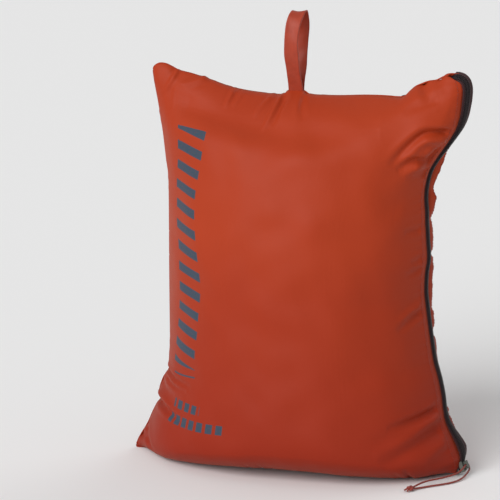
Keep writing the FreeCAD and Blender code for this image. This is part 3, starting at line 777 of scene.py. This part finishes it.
# One tooth's wire, from its root over the tape to its head past the middle:
# across the chain and out of it.
TOOTH = [(2.75, 0.15), (2.1, 0.75), (1.0, 1.05), (-0.1, 1.10), (-0.75, 0.75), (-0.70, 0.10)]


def tape(zip_band, name, side):
    columns = [zip_band.place(side * (share * zip_band.gap[:, None] + extra), out)
               for share, extra, out in TAPE_SECTION]
    points = np.stack(columns, axis=1)[::2]
    cloth = mesh_piece("zipper_tape_%s_cloth" % name, points.reshape(-1, 3),
                       grid_faces(*points.shape[:2], flip=side < 0), TAPE_CLOTH, "pocket")
    thicken(cloth, TAPE_THICK)
    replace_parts(cloth, "zipper_tape_" + name)


def chain(zip_band, name, side, run):
    """One side's teeth; the back row is half a pitch along from the front."""
    teeth = Pile()
    places = np.arange(3.0 + (TOOTH_PITCH / 2 if side > 0 else 0), run - 1.5, TOOTH_PITCH)
    middle, out, across = zip_band.sample(places)
    along = np.cross(across, out)
    lean = np.linspace(-TOOTH_LEAN, TOOTH_LEAN, len(TOOTH))
    for index in range(len(places)):
        teeth.add([middle[index] + across[index] * side * wide + out[index] * high + along[index] * tilt
                   for (wide, high), tilt in zip(TOOTH, lean)], TOOTH_RADIUS)
    coil = teeth.piece("zipper_teeth_" + name, COIL_PLASTIC, "pocket", "zipper_coil")
    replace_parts(coil, "zipper_coil_" + name)


def topstitch(panel, normal, name):
    """Separate stitches beside the tape, three columns in from the edge."""
    stitches = Pile()
    row = panel[:, -4] + normal[:, -4] * 0.10
    sewn = smooth_path(row[::3], 1400)
    for start in range(6, 1390, 10):
        stitches.add(sewn[start:start + 7:2], 0.24, 5)
    stitches.piece("zipper_topstitch_" + name, STITCHING, "pocket", "thread")


def zipper(cloth):
    zip_band = whole_band()
    run = np.linalg.norm(np.diff(zip_band.path, axis=0), axis=1).sum()
    for index, (name, side) in enumerate((("front", -1), ("back", 1))):
        tape(zip_band, name, side)
        chain(zip_band, name, side, run)
        topstitch(cloth[index], outward(cloth)[index], name)
    for name, node, start in (("zipper_foot_bartack", "zipper_bottom_stop", 1.2),
                              ("zipper_head_bartack", "zipper_top_stop", run - 2.4)):
        bars = Pile()
        middle, out, across = zip_band.sample(np.array([start, start + 0.5, start + 1.0]))
        wide = np.linspace(-3.2, 3.2, 9)
        for index in range(len(middle)):
            bars.add([middle[index] + across[index] * step + out[index] * (0.75 if abs(step) < 3 else 0.1)
                      for step in wide], 0.30)
        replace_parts(bars.piece(name, DARK_STITCHING, "pocket", "thread_dark"), node)


# ------------------------------------------------------------------ hang loop
# Middle of the strap from its front foot over the top to its back foot, and
# how far its width turns about Z, in degrees.
STRAP = [(-4.7, -0.7, 311.4), (-4.9, -3.4, 320), (-5.4, -8.2, 332), (-5.8, -12.2, 345), (-5.8, -13.6, 357),
         (-5.0, -12.0, 368.5), (-3.8, -8.0, 376.0), (-2.8, -3.4, 379.8), (-2.4, 0.6, 380.4),
         (-2.4, 4.6, 379.0), (-3.0, 9.0, 373.4), (-3.8, 12.4, 363), (-4.4, 12.6, 350),
         (-4.8, 9.4, 336), (-4.8, 4.6, 322), (-4.7, 0.7, 311.4)]
STRAP_TURN = [(0, 0), (0.25, -8), (0.42, 4), (0.5, 14), (0.58, 8), (0.75, -6), (1, 0)]


def hang_loop():
    path = smooth_path(STRAP, 170)
    share = np.linspace(0, 1, len(path))
    turn = np.radians(np.interp(share, *np.array(STRAP_TURN, float).T))
    wide = np.stack([np.cos(turn), np.sin(turn), np.zeros(len(path))], axis=1)
    along = unit(np.gradient(path, axis=0))
    out = unit(np.cross(wide, along))
    steps = np.linspace(-1, 1, 13)
    cup = 0.9 * (1 - steps ** 2)
    edge = 5.9 + 0.25 * np.sin(share * 31 + 0.7)
    ripple = 0.18 * np.sin(share[:, None] * 55 + 2.2 * steps[None])
    points = (path[:, None] + wide[:, None] * (edge[:, None] * steps[None])[..., None]
              - out[:, None] * (cup[None] * np.sin(math.pi * share)[:, None] + ripple)[..., None])
    strap = mesh_piece("hang_loop_strap", points.reshape(-1, 3), grid_faces(*points.shape[:2]),
                       LOOP_FABRIC, "hang_loop")
    thicken(strap, 1.0, 0)
    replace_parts(strap, "hang_loop")


# --------------------------------------------------------------------- camera
def camera_and_light():
    """Long lens from the zipper's side and a little above."""
    azimuth, elevation = math.radians(17), math.radians(12.5)
    target = Vector((-44.6 * MM, 0, 178.6 * MM))
    away = Vector((math.sin(azimuth) * math.cos(elevation), -math.cos(azimuth) * math.cos(elevation),
                   math.sin(elevation)))
    camera = bpy.data.objects.new("camera", bpy.data.cameras.new("camera"))
    camera.location = target + away * 2.4815
    camera.rotation_euler = (-away).to_track_quat("-Z", "Y").to_euler()
    camera.data.lens = 215
    camera.data.sensor_width = 36
    camera.data.clip_end = 50
    bpy.context.scene.collection.objects.link(camera)
    bpy.context.scene.camera = camera
    for name, place, power, spread in (
            ("key", (-0.75, -1.9, 1.15), 2.6, 45),
            ("rim", (0.9, 1.6, 1.4), 0.5, 40)):
        lamp = bpy.data.objects.new(name, bpy.data.lights.new(name, "SUN"))
        lamp.data.energy = power
        lamp.data.angle = math.radians(spread)
        lamp.rotation_euler = (-Vector(place)).to_track_quat("-Z", "Y").to_euler()
        bpy.context.scene.collection.objects.link(lamp)
    world = bpy.data.worlds.new("studio")
    world.use_nodes = True
    world.node_tree.nodes["Background"].inputs["Color"].default_value = (0.84, 0.84, 0.84, 1)
    world.node_tree.nodes["Background"].inputs["Strength"].default_value = 0.50
    bpy.context.scene.world = world
    bpy.context.scene.view_settings.view_transform = "Standard"


def studio_floor():
    bpy.ops.mesh.primitive_plane_add(size=40)
    floor = bpy.context.object
    floor.name = "studio_floor"
    shader = Shader("studio_paper", (0.86, 0.86, 0.86, 1), 0.9, 0.1)
    shader.bump(shader.noise(shader.place(), 200.0), 0.02, 0.0005)
    floor.data.materials.append(shader.material)


# ----------------------------------------------------------------------- cord
# The cord's route: X and Y from the middle of the crown's hole, Z over the
# floor, in mm, from the knot through the hole and back to the knot.
CORD_ROUTE = [
    (-31.0, -54.6, 3.2),
    (-28.6, -48.5, 3.9),
    (-23.2, -39.2, 4.7),
    (-15.0, -30.6, 4.8),
    (-8.8, -24.0, 5.4),
    (-3.7, -17.8, 6.2),
    (-0.9, -10.9, 7.7),
    (0.0, -4.2, 9.15),
    (0.0, 0.3, 9.3),
    (0.0, 4.4, 9.2),
    (0.6, 6.0, 7.8),
    (1.4, 6.1, 5.8),
    (2.0, 4.5, 4.4),
    (2.2, 1.3, 3.9),
    (2.1, -4.6, 3.2),
    (1.2, -12.4, 2.2),
    (-1.3, -20.4, 1.4),
    (-6.4, -28.3, 1.1),
    (-13.6, -36.0, 1.2),
    (-22.2, -43.6, 1.1),
    (-28.6, -51.4, 1.3),
    (-31.4, -55.8, 2.2),
]
CORD_WIDE = 1.5


def rope(name, points, wide, body, material):
    """A smooth cord whose route is the control points of one NURBS spline."""
    curve = bpy.data.curves.new(name, "CURVE")
    curve.dimensions = "3D"
    curve.bevel_depth = wide / 2 * MM
    curve.bevel_resolution = 5
    curve.resolution_u = 12
    spline = curve.splines.new("NURBS")
    spline.points.add(len(points) - 1)
    for point, place in zip(spline.points, points):
        point.co = (*(np.array(place) * MM), 1)
    spline.order_u = 3
    spline.use_endpoint_u = True
    curve.use_fill_caps = True
    curve.materials.append(material)
    piece = bpy.data.objects.new(name, curve)
    bpy.context.scene.collection.objects.link(piece)
    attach(piece, body)
    return piece


def pull_cord():
    route = [(HOLE[0] + x, y, z) for x, y, z in CORD_ROUTE]
    line = rope("pull_cord_line", route, CORD_WIDE, "pull_cord", CORD_BRAID)
    knot = knot_piece(np.array([HOLE[0] - 32.8, -57.2, 2.8]))
    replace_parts(line, "pull_cord")
    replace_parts(knot, "pull_cord_knot")


def swept(path, radius, ring=10):
    """Points and faces of a round tube along a dense path."""
    tangent = unit(np.gradient(path, axis=0))
    helper = np.array([0, 0, 1.0])
    side = unit(np.cross(tangent, helper))
    above = np.cross(side, tangent)
    angle = np.linspace(0, 2 * math.pi, ring, endpoint=False)
    circle = radius * (np.cos(angle)[None, :, None] * side[:, None]
                       + np.sin(angle)[None, :, None] * above[:, None])
    points = (path[:, None] + circle).reshape(-1, 3)
    faces = []
    for row in range(len(path) - 1):
        for column in range(ring):
            after = (column + 1) % ring
            faces.append((row * ring + column, row * ring + after,
                          (row + 1) * ring + after, (row + 1) * ring + column))
    last = (len(path) - 1) * ring
    faces.append(tuple(range(ring))[::-1])
    faces.append(tuple(last + column for column in range(ring)))
    return points, faces


def knot_piece(middle):
    """An overhand knot in the doubled cord, with its two short tails."""
    turn = np.linspace(0, 2 * math.pi, 90)
    points, faces = [], []

    def add(path, radius):
        new_points, new_faces = swept(path, radius)
        start = len(points)
        points.extend(new_points)
        faces.extend([tuple(start + corner for corner in face) for face in new_faces])

    lean = Matrix.Rotation(math.radians(35), 3, "Z")
    trefoil = np.stack([np.sin(turn) + 2 * np.sin(2 * turn), np.cos(turn) - 2 * np.cos(2 * turn),
                        -1.15 * np.sin(3 * turn)], axis=1) * 0.80
    trefoil = trefoil @ np.array(lean).T
    add(middle + trefoil, 0.92)
    for away, tip in (((-1, -0.55, -0.1), (-4.4, -3.0, -1.4)), ((-0.35, -1, -0.12), (-1.6, -4.6, -1.5))):
        start = middle + np.array(away) * 0.8
        bend = middle + np.array(away) * 2.6
        add(smooth_path([start, bend, middle + np.array(tip)], 14), 0.7)
    return mesh_piece("pull_cord_overhand_knot", points, faces, CORD_BRAID, "pull_cord")


camera_and_light()
studio_floor()
pull_cord()
CLOTH = pocket()
zipper(CLOTH)
hang_loop()

KEPT_NODES = {
    "hang_loop_tail": LOOP_FABRIC,
    "hang_loop_bartack": STITCHING,
    "slider_body": SLIDER_METAL,
    "blanket_insulation": FILL,
    "blanket_lining_fabric": LINING,
    "blanket_face_fabric": SHELL_PLAIN,
    "blanket_hem": SHELL_PLAIN,
}
for node, material in KEPT_NODES.items():
    for slot_index in range(len(frame["nodes"][node].data.materials)):
        frame["nodes"][node].data.materials[slot_index] = material
